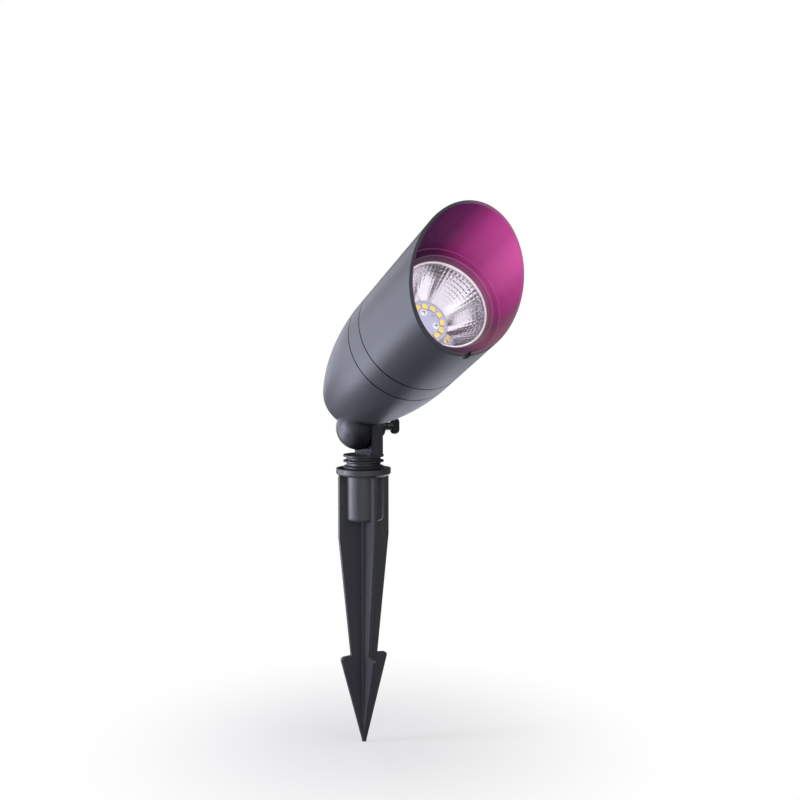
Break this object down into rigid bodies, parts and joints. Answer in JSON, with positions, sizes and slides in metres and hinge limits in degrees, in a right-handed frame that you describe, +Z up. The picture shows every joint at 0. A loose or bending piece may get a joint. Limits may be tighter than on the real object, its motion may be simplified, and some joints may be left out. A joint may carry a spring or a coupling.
{
  "type": "garden spike spotlight",
  "caption": "Garden spotlight on a ground spike: bullet-shaped lamp head with a slanted glare hood, tilting on a serrated knuckle and clamped by a side thumbscrew.",
  "frame": {"origin": "centre of the spike's collar underside, where the ground surface comes to", "axes": "+Z up along the spike; the lamp head points towards -Y and upwards; the tilting hinge runs along X with the thumbscrew on the +X side"},
  "size_m": [0.058, 0.133, 0.2736],
  "materials": {
    "head_coating": "anthracite powder coat, satin, on a die casting",
    "spike_plastic": "black moulded plastic, fine satin grain",
    "grip_plastic": "black moulded plastic, smooth",
    "screw_steel": "plain stainless steel",
    "insert_brass": "turned brass",
    "seal_rubber": "black rubber",
    "clear_glass": "clear tempered glass, polished",
    "bright_reflector": "bright metallised bowl with facets",
    "ring_plastic": "black moulded plastic",
    "board_white": "white lacquered board",
    "chip_yellow": "yellow phosphor under clear resin",
    "pad_rubber": "grey soft pad",
    "case_plastic": "black moulded plastic",
    "board_green": "green lacquered board",
    "transformer_tape": "yellow wrapped winding",
    "capacitor_can": "aluminium can",
    "terminal_plastic": "off-white moulded plastic",
    "lead_sleeve": "red insulated lead",
    "gland_plastic": "black moulded plastic"
  },
  "bodies": {
    "ground": {"ground_spike": "spike_plastic"},
    "stem": {"stem_bracket": "head_coating", "spigot_o_ring": "seal_rubber", "spigot_snap_ring": "screw_steel", "flat_washer": "screw_steel", "spring_washer": "screw_steel"},
    "thumbscrew": {"thumbscrew_grip": "grip_plastic", "thumbscrew_shank": "screw_steel"},
    "head": {"rear_housing": "head_coating", "knuckle_insert": "insert_brass", "middle_body": "head_coating", "rear_seal": "seal_rubber", "front_seal": "seal_rubber", "hood_barrel": "head_coating", "glass_gasket": "seal_rubber", "front_glass": "clear_glass", "reflector": "bright_reflector", "reflector_ring": "ring_plastic", "led_board": "board_white", "led_chips": "chip_yellow", "board_screws": "screw_steel", "thermal_pad": "pad_rubber", "driver_case": "case_plastic", "driver_lid": "case_plastic", "driver_board": "board_green", "driver_transformer": "transformer_tape", "driver_capacitor": "capacitor_can", "driver_screws": "screw_steel", "input_terminal": "terminal_plastic", "led_leads": "lead_sleeve", "gland_body": "gland_plastic", "gland_seal": "seal_rubber", "gland_nut": "gland_plastic", "gland_washer": "seal_rubber"}
  },
  "joints": [
    {"name": "stem_turn", "type": "hinge", "parent": "ground", "child": "stem", "pos_m": [0, 0, 0], "axis": [0, 0, 1], "range_deg": [-180, 180]},
    {"name": "head_tilt", "type": "hinge", "parent": "stem", "child": "head", "pos_m": [0, 0, 0.0247], "axis": [-1, 0, 0], "range_deg": [-30, 63.6]},
    {"name": "thumbscrew_turn", "type": "hinge", "parent": "stem", "child": "thumbscrew", "pos_m": [0, 0, 0.0247], "axis": [1, 0, 0], "range_deg": [0, 360]}
  ]
}
